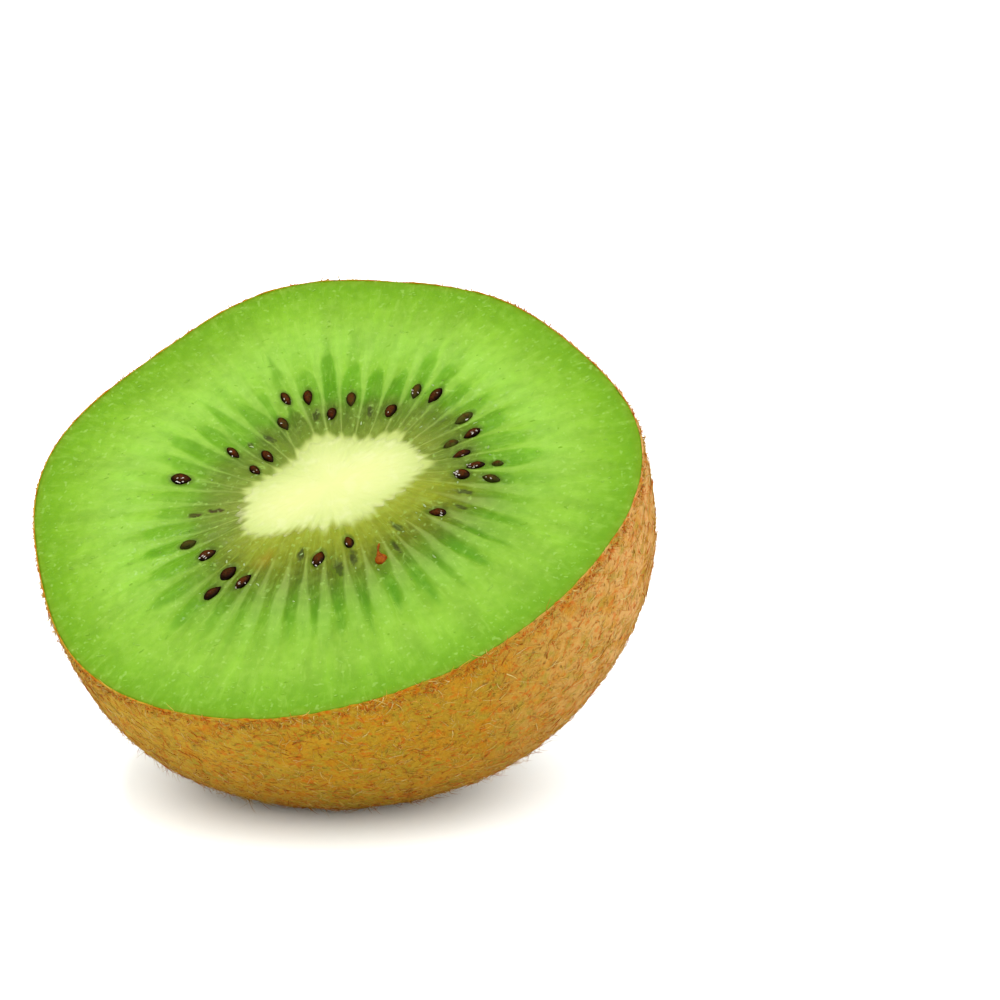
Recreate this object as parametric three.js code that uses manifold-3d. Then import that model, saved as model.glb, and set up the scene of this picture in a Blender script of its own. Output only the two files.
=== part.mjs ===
// Half of a green kiwi fruit, cut across its middle. It lies on its rounded skin, tipped
// back, with the cut face looking up and outwards.
//
// Millimetres, +Z up. The origin is the middle of the small flat spot that the half rests on.
// Everything is worked out in the fruit's own frame, where the cut face is the plane z = 0,
// +z points out of the cut and the fruit runs down to its far end. One group then tips it.

import * as THREE from 'three';
import { mergeVertices } from 'three/addons/utils/BufferGeometryUtils.js';
import Module from 'manifold-3d';

const wasm = await Module();
wasm.setup();

const DEGREE = Math.PI / 180;

// ---- How the half lies ----
const FACE_TILT = 37;           // degrees between the cut face and level
const FACE_TURN = 23.6;         // degrees from -Y towards -X, the way the cut face looks
const FACE_CENTRE = new THREE.Vector3(-0.39, -4.65, 29.12);   // above the resting spot

// ---- The cut face's outline: a mean radius and the waves that make it uneven ----
const FACE_RADIUS = 26.6;
const FACE_WAVES = [            // size in mm, how many round the rim, degrees of one crest
  { size: 0.12, count: 1, crest: -49 },
  { size: 1.44, count: 2, crest: -10 },
  { size: 0.56, count: 3, crest: -10 },
  { size: 0.32, count: 4, crest: -13 },
  { size: 0.16, count: 5, crest: 12 },
  { size: 0.27, count: 6, crest: -15 },
  { size: 0.22, count: 7, crest: 2 },
];

// ---- The rounded body behind the cut ----
const DEPTH = 31.53;            // cut face to far end
const END_POWER = 2.65;         // how square the side is before it turns in
const SIDE_POWER = 1.78;        // how round the far end is
const END_DRIFT = { x: 0.12, y: -0.03 };  // the far end lies a little off the middle
const SIDE_WAVES = [            // how the side is uneven half way down
  { size: 0.19, count: 1, crest: -144 },
  { size: 0.11, count: 2, crest: 41 },
  { size: 0.47, count: 3, crest: -54 },
];
const SCAR_DEPTH = 0.9;         // the shallow dimple at the far end
const SCAR_RADIUS = 4.5;
const KNOB_HEIGHT = 1.1;        // the dry knob that stands in it
const KNOB_RADIUS = 1.5;

// ---- The pale core ----
const CORE_CENTRE = { x: 0.56, y: 0.35 };
const CORE_RADIUS = 6;
const CORE_TURN = 14;           // degrees from the face's x axis to the core's long way
const CORE_WAVES = [            // as shares of the radius
  { size: 0.27, count: 2, crest: CORE_TURN },
  { size: 0.056, count: 3, crest: -28 },
  { size: 0.12, count: 4, crest: CORE_TURN },
];
const CORE_CROWDING = 1.5;      // how closely the walls' feet stand at its two ends
const CORE_REACH = 0.86;        // how far it runs towards the far end, as a share of DEPTH
const CORE_TAPER = 2.4;
const CORE_CROWN = 0.15;        // it stands this much proud in its middle
const TOOTH = 0.25;             // its edge runs out along the walls and back in the pockets
const GAP = 0.4;                // clear space between core and flesh
const MOUTH = 5;                // the room cut for the core runs this far out past the face

// ---- The ring of seed pockets, with thin walls between them ----
const POCKETS = 40;
const POCKET_DIP = 0.22;        // how deep a pocket sinks between its walls
const POCKET_START = 0.04;      // shares of the way from the core to the rim
const POCKET_END = 0.66;
const FLESH_SWELL = 0.25;       // the outer flesh rises this much above the cut plane

// ---- Seeds ----
// Each seed has its place in pockets, counted anticlockwise from the face's x axis, its steps
// out from the core, the degrees it turns from pointing at the core, its length and its width.
const SEEDS = [
  [0.5, 5.2, 13, 2.0, 0.9], [1.5, 4.5, 4, 1.7, 0.9], [1.7, 7.2, 9, 1.9, 0.9],
  [2.8, 7.6, 1, 2.1, 0.9], [5.0, 8.1, 1, 2.1, 1.0], [6.0, 8.0, 11, 1.9, 0.9],
  [6.7, 5.0, -7, 1.8, 1.1], [9.2, 6.3, 6, 1.9, 1.0], [10.3, 4.2, -6, 1.6, 1.0],
  [11.3, 7.2, -6, 2.0, 1.0], [12.2, 8.1, 8, 2.1, 0.8], [12.9, 5.2, 3, 2.0, 0.9],
  [15.0, 3.0, -8, 2.0, 0.9], [15.9, 6.2, -12, 2.0, 0.8], [16.4, 2.7, -15, 1.7, 0.8],
  [18.0, 8.5, 2, 2.3, 1.2], [22.1, 6.6, 0, 1.8, 0.9], [23.3, 5.6, -7, 1.9, 1.1],
  [25.2, 6.2, -6, 2.0, 1.2], [25.3, 9.4, -10, 2.1, 1.0], [26.2, 7.0, -12, 2.1, 0.9],
  [29.8, 4.4, -15, 1.9, 1.2], [31.7, 2.9, 8, 1.7, 0.9], [32.9, 6.4, -1, 1.4, 1.2],
  [36.5, 5.9, 25, 2.1, 1.0], [38.8, 8.6, -11, 2.0, 0.8], [39.0, 5.0, -12, 1.9, 1.1],
  [39.6, 6.7, 6, 2.0, 0.8], [39.6, 9.1, -3, 1.3, 0.6],
];
const SEED_STEP = 1 / 25;       // one step is this share of the way to the rim
const SEED_THICKNESS = 1;
const SEED_SINK = 0.1;          // its middle lies this much below the pocket's floor

// ---- How finely it is faceted ----
const SECTORS = 2 * POCKETS;    // one line of corners on each wall and one in each pocket
const FACE_SHARES = [0.1, 0.18, 0.26, 0.35, 0.45, 0.55, 0.66, 0.8, 0.93, 1];
const BODY_RINGS = 15;
const END_SHARES = [0.24, 0.16, 0.1, 0.065, 0.035];   // ring radii close to the far end
const CORE_RINGS = 6;
const CORE_FACE_SHARES = [0.4, 0.75, 1];
const SEED_SIDES = [6, 4];      // round it, and from end to end
const TABLE_SIZE = 200;         // a block wider than the fruit, used to cut the resting spot

const fleshMaterial = new THREE.MeshStandardMaterial({ color: 0x8cc63a, roughness: 0.35, metalness: 0 });
const coreMaterial = new THREE.MeshStandardMaterial({ color: 0xf3f7ae, roughness: 0.45, metalness: 0 });

// ---- Outlines and heights on the cut face ----

function waves(list, angle) {
  return list.reduce((sum, w) => sum + w.size * Math.cos(w.count * (angle - w.crest * DEGREE)), 0);
}

function rimPoint(angle) {
  const radius = FACE_RADIUS + waves(FACE_WAVES, angle);
  return new THREE.Vector2(radius * Math.cos(angle), radius * Math.sin(angle));
}

// +1 on the wall between two pockets, -1 in the middle of a pocket.
function wallness(angle) {
  return Math.cos(POCKETS * angle);
}

// Where on the core's edge the line that reaches the rim at an angle starts.
function footAngle(angle) {
  const turn = CORE_TURN * DEGREE;
  return turn + Math.atan2(Math.sin(angle - turn), CORE_CROWDING * Math.cos(angle - turn));
}

// The core's edge from its middle: an uneven oval with teeth, grown outwards by the margin.
function coreOffset(angle, margin) {
  const foot = footAngle(angle);
  const oval = CORE_RADIUS * (1 + waves(CORE_WAVES, foot));
  const radius = oval + TOOTH * wallness(angle) + margin;
  return new THREE.Vector2(radius * Math.cos(foot), radius * Math.sin(foot));
}

function corePoint(angle, margin = 0) {
  return coreOffset(angle, margin).add(new THREE.Vector2(CORE_CENTRE.x, CORE_CENTRE.y));
}

// The point a share of the way from the core's edge to the rim.
function facePoint(angle, share) {
  return corePoint(angle).lerp(rimPoint(angle), share);
}

// Height above the cut plane: pockets dip between their walls, the flesh outside swells.
function faceHeight(angle, share) {
  const along = THREE.MathUtils.clamp((share - POCKET_START) / (POCKET_END - POCKET_START), 0, 1);
  const dip = POCKET_DIP * Math.sin(Math.PI * along) * (1 - wallness(angle)) / 2;
  const swell = FLESH_SWELL * Math.sin(Math.PI * share) ** 2;
  return swell - dip;
}

// ---- Closed bodies made of rings of corners ----

// The first point, rings that each go anticlockwise seen from +z, and the last point below.
function ringedBody(first, rings, last) {
  const points = [first, ...rings.flat(), last];
  const corner = (ring, sector) => 1 + ring * SECTORS + (sector % SECTORS);
  const index = [];
  for (let s = 0; s < SECTORS; s += 1) {
    index.push(0, corner(0, s), corner(0, s + 1));
    for (let r = 0; r < rings.length - 1; r += 1) {
      const [a, b] = [corner(r, s), corner(r, s + 1)];
      const [c, d] = [corner(r + 1, s), corner(r + 1, s + 1)];
      index.push(a, c, d, a, d, b);
    }
    index.push(points.length - 1, corner(rings.length - 1, s + 1), corner(rings.length - 1, s));
  }
  return new THREE.BufferGeometry().setFromPoints(points).setIndex(index);
}

function ring(pointAt) {
  return Array.from({ length: SECTORS }, (_, s) => pointAt(2 * Math.PI * s / SECTORS));
}

// How far down, as a share of DEPTH, and how wide, as a share of the rim, the body is.
function bodyStations() {
  const widest = Array.from({ length: BODY_RINGS }, (_, i) => {
    const turn = (Math.PI / 2) * (i + 1) / (BODY_RINGS + 1);
    return Math.cos(turn) ** (2 / SIDE_POWER);
  }).filter((width) => width > END_SHARES[0]);
  return [...widest, ...END_SHARES].map((width) => ({
    width,
    depth: (1 - width ** SIDE_POWER) ** (1 / END_POWER),
  }));
}

// The dimple and its knob at the far end, as a height towards the cut.
function scarHeight(radius) {
  const dimple = SCAR_DEPTH * Math.exp(-((radius / SCAR_RADIUS) ** 2));
  const knob = KNOB_HEIGHT * Math.exp(-((radius / KNOB_RADIUS) ** 4));
  return dimple - knob;
}

function bodyPoint(angle, station) {
  const swell = 2 * station.width * station.depth * waves(SIDE_WAVES, angle);
  const rim = rimPoint(angle).multiplyScalar(station.width);
  rim.add(new THREE.Vector2(swell * Math.cos(angle), swell * Math.sin(angle)));
  return new THREE.Vector3(
    rim.x + END_DRIFT.x * station.depth ** 2,
    rim.y + END_DRIFT.y * station.depth ** 2,
    scarHeight(rim.length()) - DEPTH * station.depth,
  );
}

function wholeBody() {
  const face = FACE_SHARES.map((share) => ring((angle) => {
    const at = facePoint(angle, share);
    return new THREE.Vector3(at.x, at.y, faceHeight(angle, share));
  }));
  const side = bodyStations().map((station) => ring((angle) => bodyPoint(angle, station)));
  const middle = new THREE.Vector3(CORE_CENTRE.x, CORE_CENTRE.y, 0);
  return ringedBody(middle, [...face, ...side], bodyPoint(0, { width: 0, depth: 1 }));
}

// The core's column. With a margin and a lift it is the room that the column stands in,
// which opens through the cut face.
function coreColumn(margin, lift) {
  const middle = new THREE.Vector2(CORE_CENTRE.x, CORE_CENTRE.y);
  const top = CORE_FACE_SHARES.map((share) => ring((angle) => {
    const at = coreOffset(angle, margin).multiplyScalar(share).add(middle);
    return new THREE.Vector3(at.x, at.y, lift + CORE_CROWN * (1 - share ** 2));
  }));
  const shaft = Array.from({ length: CORE_RINGS }, (_, i) => {
    const down = (i + 1) / (CORE_RINGS + 1);
    const width = Math.sqrt(1 - down ** CORE_TAPER);
    return ring((angle) => {
      const at = coreOffset(angle, margin).multiplyScalar(width).add(middle);
      return new THREE.Vector3(at.x, at.y, -CORE_REACH * DEPTH * down - margin);
    });
  });
  return ringedBody(
    new THREE.Vector3(middle.x, middle.y, lift + CORE_CROWN),
    [...top, ...shaft],
    new THREE.Vector3(middle.x, middle.y, -CORE_REACH * DEPTH - margin),
  );
}

// ---- Seeds ----

function makeSeed([place, steps, turn, length, width]) {
  const angle = 2 * Math.PI * place / POCKETS;
  const share = steps * SEED_STEP;
  const at = facePoint(angle, share);
  const out = rimPoint(angle).sub(corePoint(angle)).angle();
  const seed = new THREE.SphereGeometry(0.5, ...SEED_SIDES);
  seed.rotateZ(Math.PI / 2);
  seed.scale(length, width, SEED_THICKNESS);
  seed.rotateZ(out + turn * DEGREE);
  seed.translate(at.x, at.y, faceHeight(angle, share) - SEED_SINK);
  return seed;
}

// ---- Joining and cutting ----

function solidOf(geometry) {
  const bare = geometry.clone();
  bare.deleteAttribute('normal');
  bare.deleteAttribute('uv');
  const merged = mergeVertices(bare);
  return new wasm.Manifold(new wasm.Mesh({
    numProp: 3,
    vertProperties: new Float32Array(merged.attributes.position.array),
    triVerts: new Uint32Array(merged.index.array),
  }));
}

function geometryOf(solid) {
  const mesh = solid.getMesh();
  const geometry = new THREE.BufferGeometry();
  geometry.setAttribute('position', new THREE.BufferAttribute(mesh.vertProperties, 3));
  geometry.setIndex(new THREE.BufferAttribute(mesh.triVerts, 1));
  geometry.computeVertexNormals();
  return geometry;
}

// ---- The half, tipped back on its resting spot ----

function tippedBack() {
  const tilt = FACE_TILT * DEGREE;
  const turn = FACE_TURN * DEGREE;
  const out = new THREE.Vector3(
    -Math.sin(tilt) * Math.sin(turn),
    -Math.sin(tilt) * Math.cos(turn),
    Math.cos(tilt),
  );
  const across = new THREE.Vector3(1, 0, 0).addScaledVector(out, -out.x).normalize();
  const up = new THREE.Vector3().crossVectors(out, across);
  return new THREE.Matrix4().makeBasis(across, up, out).setPosition(FACE_CENTRE);
}

// Everything above the surface the half lies on, as a block in the fruit's own frame.
function aboveTheTable(tip) {
  const block = new THREE.BoxGeometry(TABLE_SIZE, TABLE_SIZE, TABLE_SIZE);
  block.translate(0, 0, TABLE_SIZE / 2);
  return block.applyMatrix4(tip.clone().invert());
}

function namedMesh(name, solid, material) {
  const mesh = new THREE.Mesh(geometryOf(solid), material);
  mesh.name = name;
  return mesh;
}

const tip = tippedBack();
const core = solidOf(coreColumn(0, 0));
const coreRoom = solidOf(coreColumn(GAP, MOUTH));
const hollowed = solidOf(wholeBody()).subtract(coreRoom);
const bareFlesh = hollowed.intersect(solidOf(aboveTheTable(tip)));
const flesh = SEEDS.map(makeSeed).reduce((whole, seed) => whole.add(solidOf(seed)), bareFlesh);

const half = new THREE.Group();
half.applyMatrix4(tip);
half.add(namedMesh('flesh', flesh, fleshMaterial));
half.add(namedMesh('core', core, coreMaterial));

const fruit = new THREE.Group();
fruit.add(half);

export default fruit;
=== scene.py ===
"""Half of a green fuzzy-skinned fruit, cut across and lying tipped back on its skin.

Shapes are worked out in millimetres in the fruit's own frame: the cut face is the plane z = 0,
+z points out of the cut, and the fruit runs down to its far end. tipped() sets them down.
On the cut, an angle and a share give every place: the share is 0 at the core's edge and 1 at
the rim. On the skin, an angle and a run do: the run is 0 at the cut and 1 at the far end.
"""

import math

import bpy
import numpy as np
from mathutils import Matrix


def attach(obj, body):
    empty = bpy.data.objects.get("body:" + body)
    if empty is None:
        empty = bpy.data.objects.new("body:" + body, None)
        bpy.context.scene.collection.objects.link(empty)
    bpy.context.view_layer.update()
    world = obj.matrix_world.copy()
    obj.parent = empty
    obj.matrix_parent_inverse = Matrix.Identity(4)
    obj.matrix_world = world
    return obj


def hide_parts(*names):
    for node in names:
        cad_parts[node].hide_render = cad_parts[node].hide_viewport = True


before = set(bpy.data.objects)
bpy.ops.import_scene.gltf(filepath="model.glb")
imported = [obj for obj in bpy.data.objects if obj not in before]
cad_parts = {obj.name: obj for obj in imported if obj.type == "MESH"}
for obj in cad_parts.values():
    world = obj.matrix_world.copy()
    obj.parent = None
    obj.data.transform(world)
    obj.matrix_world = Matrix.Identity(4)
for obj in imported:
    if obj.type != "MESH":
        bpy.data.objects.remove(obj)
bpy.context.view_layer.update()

DEGREE = math.pi / 180
ROUND = 2 * math.pi
MM = 0.001

# ---- How the half lies ----
FACE_TILT = 37
FACE_TURN = 23.6
FACE_CENTRE = np.array((-0.39, -4.65, 29.12))

# ---- The cut face's outline, as a mean radius and waves of (size, count, degrees of a crest) ----
FACE_RADIUS = 26.6
FACE_WAVES = (
    (0.12, 1, -49), (1.44, 2, -10), (0.56, 3, -10), (0.32, 4, -13), (0.16, 5, 12),
    (0.27, 6, -15), (0.22, 7, 2),
)

# ---- The rounded body behind the cut ----
DEPTH = 31.53
END_POWER = 2.65
SIDE_POWER = 1.78
END_DRIFT = np.array((0.12, -0.03))
SIDE_WAVES = ((0.19, 1, -144), (0.11, 2, 41), (0.47, 3, -54))
SCAR_DEPTH = 0.9
SCAR_RADIUS = 4.5
KNOB_HEIGHT = 1.1
KNOB_RADIUS = 1.5

# ---- The pale core ----
CORE_CENTRE = np.array((0.56, 0.35))
CORE_RADIUS = 6
CORE_TURN = 14
CORE_WAVES = ((0.27, 2, 14), (0.056, 3, -28), (0.12, 4, 14))
CORE_CROWDING = 1.5
CORE_REACH = 0.86
CORE_TAPER = 2.4
CORE_CROWN = 0.15
TOOTH = 0.25

# ---- The ring of seed pockets ----
POCKETS = 40
POCKET_DIP = 0.22
POCKET_START = 0.04
POCKET_END = 0.66
FLESH_SWELL = 0.25

# ---- Dark seeds: each has its place in pockets round the face, its steps out from the core, the
# degrees it turns from pointing at the core, its length and width, how much of it a green film
# hides, and how many beads of painted highlight it carries ----
SEEDS = (
    (0.5, 5.2, 13, 2, 0.9, 0, 1), (1.5, 4.5, 4, 1.7, 0.9, 0.6, 0), (1.7, 7.2, 9, 1.9, 0.9, 0, 4),
    (2.8, 7.6, 1, 2.1, 0.9, 0.6, 1), (5, 8.1, 1, 2.1, 1, 0, 1), (6, 8, 11, 1.9, 0.9, 0.3, 4),
    (6.7, 5, -7, 1.8, 1.1, 0, 1), (9.2, 6.3, 6, 1.9, 1, 0.2, 0), (10.3, 4.2, -6, 1.6, 1, 0, 1),
    (11.3, 7.2, -6, 2, 1, 0, 0), (12.2, 8.1, 8, 2.1, 0.8, 0, 2), (12.9, 5.2, 3, 2, 0.9, 0.2, 1),
    (15, 3, -8, 2, 0.9, 0, 1), (15.9, 6.2, -12, 2, 0.8, 0, 2), (16.4, 2.7, -15, 1.7, 0.8, 0, 2),
    (18, 8.5, 2, 2.3, 1.2, 0, 8), (22.1, 6.6, 0, 1.8, 0.9, 0.4, 0), (23.3, 5.6, -7, 1.9, 1.1, 0, 6),
    (25.2, 6.2, -6, 2, 1.2, 0, 0), (25.3, 9.4, -10, 2.1, 1, 0, 0), (26.2, 7, -12, 2.1, 0.9, 0, 4),
    (29.8, 4.4, -15, 1.9, 1.2, 0, 4), (31.7, 2.9, 8, 1.7, 0.9, 0, 1), (36.5, 5.9, 25, 2.1, 1, 0, 3),
    (38.8, 8.6, -11, 2, 0.8, 0.3, 2), (39, 5, -12, 1.9, 1.1, 0, 7), (39.6, 6.7, 6, 2, 0.8, 0, 7),
    (39.6, 9.1, -3, 1.3, 0.6, 0.6, 0),
)
ORANGE_SEED = (32.9, 6.4, -1)
# Seeds that lie just under the surface and show as shadows: the same first five, then 1 if brown.
SUNKEN_SEEDS = (
    (8, 4.5, 10, 1.8, 0.5, 0), (11.2, 4.1, -15, 1.5, 0.8, 0), (14, 4.7, 14, 1.5, 0.6, 0),
    (15, 5.7, -15, 0.8, 0.5, 0), (20.1, 2.9, -3, 1.6, 0.5, 1), (20.2, 5.5, 2, 1.5, 0.5, 1),
    (28.6, 3.9, 3, 1.6, 0.7, 0), (30.9, 6, 6, 2.2, 0.9, 0), (31.7, 5.3, -3, 1.8, 0.9, 0),
    (33.8, 6.4, 3, 2, 0.5, 0), (34.6, 4.2, 9, 1.9, 0.6, 0), (37.1, 7.5, 3, 1.6, 0.6, 0),
    (37.9, 6.5, 0, 2, 0.5, 0),
)
SEED_STEP = 1 / 25
SEED_THICKNESS = 1
SEED_SINK = 0.1

# ---- Layers ----
SKIN_THICKNESS = 0.16
CLEAR = 0.02
CORE_GROWTH = 0.19
ROOM_GROWTH = CORE_GROWTH + CLEAR
LIP_GROWTHS = np.array((0.282, 0.29, 0.285, 0.19))
LIP_HEIGHTS = np.array((0.012, 0.011, 0.004, 0.003))

# ---- How finely the surfaces are divided ----
FACE_COLUMNS = 20 * POCKETS
FACE_ROWS = 108
FACE_CROWDING = 1.25
SHAFT_ROWS = 6
HIDDEN_SIDE_ROWS = 6
CORE_ROWS = 50
CORE_SHAFT_ROWS = 12
SKIN_COLUMNS = 560
SKIN_ROWS = 150
INNER_SKIN_ROWS = 26
INNER_SKIN_CROWDING = 1.5
END_INSET = 1.4


# ---- Outlines and heights ----

def waves(rows, angle):
    """The sum of each size times the cosine of its count times the angle past its crest."""
    return sum(size * np.cos(count * (angle - crest * DEGREE)) for size, count, crest in rows)


def spot(radius, angle):
    """The flat point at a radius and an angle."""
    return np.stack((radius * np.cos(angle), radius * np.sin(angle)), -1)


def raised(flat, height):
    """Flat points with a height each."""
    return np.concatenate((flat, height[..., None]), -1)


def rim_point(angle, inset=0.0):
    """The rim of the cut: the mean radius plus its waves, drawn in by the inset."""
    return spot(FACE_RADIUS + waves(FACE_WAVES, angle) - inset, angle)


def wallness(angle):
    """+1 on the wall between two pockets and -1 in the middle of a pocket."""
    return np.cos(POCKETS * angle)


def core_offset(angle, growth=0.0):
    """The core's edge from its middle: an uneven toothed oval, with feet crowded at its ends."""
    turn = CORE_TURN * DEGREE
    foot = turn + np.arctan2(np.sin(angle - turn), CORE_CROWDING * np.cos(angle - turn))
    radius = CORE_RADIUS * (1 + waves(CORE_WAVES, foot)) + TOOTH * wallness(angle) + growth
    return spot(radius, foot)


def outward(angle):
    """The way from the core's edge to the rim."""
    return rim_point(angle) - core_offset(angle) - CORE_CENTRE


def span(angle):
    """How far it is from the core's edge to the rim."""
    return np.linalg.norm(outward(angle), axis=-1)


def face_spot(angle, share):
    """The flat point a share of the way from the core's edge to the rim."""
    inner = core_offset(angle) + CORE_CENTRE
    return inner + (rim_point(angle) - inner) * np.asarray(share)[..., None]


def face_height(angle, share):
    """Pockets dip by a half sine between their walls, and the flesh outside them swells."""
    along = np.clip((share - POCKET_START) / (POCKET_END - POCKET_START), 0, 1)
    dip = POCKET_DIP * np.sin(math.pi * along) * (1 - wallness(angle)) / 2
    return FLESH_SWELL * np.sin(math.pi * share) ** 2 - dip


def smooth(low, high, value):
    """An S curve from 0 at low to 1 at high."""
    step = np.clip((value - low) / (high - low), 0, 1)
    return step * step * (3 - 2 * step)


def blended(table, angle, along):
    """A table's numbers, blended by S curves both ways.

    Its columns join up round the angle. Along goes 0 to 1 from its first row to its last but one.
    """
    columns = table.shape[1]
    x = np.mod(angle / ROUND, 1) * columns
    y = np.clip(along, 0, 1) * (len(table) - 2)
    left = np.floor(x).astype(int)
    below = np.floor(y).astype(int)
    right = (left + 1) % columns
    left = left % columns
    over = smooth(0, 1, x - np.floor(x))
    up = smooth(0, 1, y - below)
    low = table[below, left] * (1 - over) + table[below, right] * over
    high = table[below + 1, left] * (1 - over) + table[below + 1, right] * over
    return low * (1 - up) + high * up


def noise(angle, along, columns, rows, draw):
    """Smooth noise between -1 and 1: fixed draws, blended round the angle and along."""
    return blended(np.random.default_rng(draw).uniform(-1, 1, (rows + 2, columns)), angle, along)


def ring_noise(angle, columns, draw):
    """Noise that changes only round the angle."""
    return noise(angle, np.zeros_like(angle), columns, 1, draw)


def turned_axes():
    """The fruit's own three axes in the row frame: across the face, up it, and out of it."""
    tilt = FACE_TILT * DEGREE
    turn = FACE_TURN * DEGREE
    out = np.array((
        -math.sin(tilt) * math.sin(turn), -math.sin(tilt) * math.cos(turn), math.cos(tilt),
    ))
    across = np.array((1.0, 0.0, 0.0)) - out[0] * out
    across /= np.linalg.norm(across)
    return np.stack((across, np.cross(out, across), out))


AXES = turned_axes()


def tipped(points, level=None):
    """Points of the fruit's own frame, tipped back. None lies below the level, if one is given."""
    placed = FACE_CENTRE + points @ AXES
    if level is not None:
        placed[..., 2] = np.maximum(placed[..., 2], level)
    return placed


# ---- The body's side ----

TURNS = np.linspace(0, math.pi / 2, 2001)


def profile(turn):
    """Width as a share of the rim and depth as a share of the whole, by powers of a circle."""
    return np.cos(turn) ** (2 / SIDE_POWER), np.sin(turn) ** (2 / END_POWER)


def arc_shares():
    """The length along the profile, as a share of all of it, at each of TURNS."""
    width, depth = profile(TURNS)
    steps = np.hypot(np.diff(width) * FACE_RADIUS, np.diff(depth) * DEPTH)
    length = np.concatenate(((0,), np.cumsum(steps)))
    return length / length[-1]


ARC_SHARES = arc_shares()


def side_point(angle, run, inset=0.0):
    """The body's side: the rim's outline narrowed by the profile's width, at its depth.

    Waves make it uneven half way down. The far end drifts off the middle, and has a dimple with
    a knob in it.
    """
    width, depth = profile(np.interp(run, ARC_SHARES, TURNS))
    flat = rim_point(angle, inset) * width[..., None]
    flat = flat + spot(2 * width * depth * waves(SIDE_WAVES, angle), angle)
    radius = np.linalg.norm(flat, axis=-1)
    dimple = SCAR_DEPTH * np.exp(-((radius / SCAR_RADIUS) ** 2))
    knob = KNOB_HEIGHT * np.exp(-((radius / KNOB_RADIUS) ** 4))
    height = dimple - knob - (DEPTH - inset) * depth
    return raised(flat + END_DRIFT * (depth ** 2)[..., None], height)


def side_normal(angle, run):
    """The outward direction of the side, from its slopes each way."""
    step = 0.002
    around = side_point(angle + step, run) - side_point(angle - step, run)
    down = side_point(angle, np.clip(run + step, 0, 1)) - side_point(angle, np.clip(run - step, 0, 1))
    normal = np.cross(down, around)
    return normal / np.linalg.norm(normal, axis=-1, keepdims=True)


# ---- Meshes from arrays ----

def ring_faces(rows, columns, first=0):
    """Triangles between rings of corners, each joined up round, plus a point before and after."""
    ring = first + 1 + np.arange(rows * columns).reshape(rows, columns)
    right = np.roll(ring, -1, axis=1)
    lower = np.stack((ring[:-1], ring[1:], right[1:]), -1).reshape(-1, 3)
    upper = np.stack((ring[:-1], right[1:], right[:-1]), -1).reshape(-1, 3)
    start = np.full(columns, first)
    end = np.full(columns, first + 1 + rows * columns)
    cap = np.stack((start, ring[0], right[0]), -1)
    tail = np.stack((end, right[-1], ring[-1]), -1)
    return np.concatenate((cap, lower, upper, tail))


def closed(rings, start=None, end=None):
    """A closed ringed surface's corners or their values: the first point, the rings, the last.

    A start or end that isn't given is like the first corner of the ring beside it.
    """
    start = rings[0, 0] if start is None else start
    end = rings[-1, 0] if end is None else end
    return np.concatenate((start.reshape(1, -1), rings.reshape(-1, rings.shape[-1]), end.reshape(1, -1)))


def facing_out(points, faces):
    """The same faces, turned round if the volume they enclose comes out negative."""
    a, b, c = points[faces[:, 0]], points[faces[:, 1]], points[faces[:, 2]]
    volume = np.einsum("ij,ij->i", a, np.cross(b, c)).sum()
    return faces if volume > 0 else faces[:, ::-1]


# How a mesh keeps a value of one number, three or four: the attribute's type and its field.
ATTRIBUTES = {1: ("FLOAT", "value"), 3: ("FLOAT_VECTOR", "vector"), 4: ("FLOAT_COLOR", "color")}


def new_piece(name, points, faces, **values):
    """A smooth mesh object at the origin, from corners in millimetres, with values at each."""
    faces = np.ascontiguousarray(facing_out(points, faces))
    mesh = bpy.data.meshes.new(name)
    mesh.vertices.add(len(points))
    mesh.vertices.foreach_set("co", (points * MM).astype(np.float32).ravel())
    mesh.loops.add(faces.size)
    mesh.loops.foreach_set("vertex_index", faces.astype(np.int32).ravel())
    mesh.polygons.add(len(faces))
    mesh.polygons.foreach_set("loop_start", np.arange(0, faces.size, 3, dtype=np.int32))
    mesh.update(calc_edges=True)
    mesh.polygons.foreach_set("use_smooth", np.ones(len(faces), dtype=bool))
    for title, value in values.items():
        value = value.reshape(len(points), -1)
        kind, field = ATTRIBUTES[value.shape[1]]
        layers = mesh.color_attributes if kind == "FLOAT_COLOR" else mesh.attributes
        made = layers.new(title, kind, "POINT")
        made.data.foreach_set(field, value.astype(np.float32).ravel())
    return linked(name, mesh)


def linked(name, data):
    """A new object of the scene that holds a mesh, a light or a camera."""
    item = bpy.data.objects.new(name, data)
    bpy.context.scene.collection.objects.link(item)
    return item


def new_heap(name, shapes, faces, **values):
    """Many copies of one shape as one piece, with a value for each copy or for each corner."""
    shapes = np.array(shapes)
    count, corners = shapes.shape[:2]
    faces = (faces + np.arange(count)[:, None, None] * corners).reshape(-1, 3)
    for title, value in values.items():
        values[title] = np.broadcast_to(np.reshape(value, (count, -1)), (count, corners))
    return new_piece(name, shapes.reshape(-1, 3), faces, **values)


# ---- Where the seeds lie ----

def seed_pose(place, steps, turn):
    """A seed's angle, its share and the direction of its length in the cut's plane."""
    angle = place / POCKETS * ROUND
    x, y = outward(angle)
    return angle, steps * SEED_STEP, math.atan2(y, x) + turn * DEGREE


def seed_reach(flat, seed, margin=0.0):
    """How far points lie from a seed's middle, as a share of its half length and half width."""
    *pose, length, width = seed[:5]
    angle, share, direction = seed_pose(*pose)
    offset = flat - face_spot(np.array(angle), share)
    along = offset @ np.array((math.cos(direction), math.sin(direction)))
    beside = offset @ np.array((-math.sin(direction), math.cos(direction)))
    return np.hypot(along / ((length + margin) / 2), beside / ((width + margin) / 2))


# ---- Colours of the cut ----

# A colour is given as it looks in full light, in screen steps of 0 to 255. The surface itself
# gives back this share of it, and the dry skin and its hairs a little more.
BRIGHTNESS = 0.378
DRY_SHARE = 1.12


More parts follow.
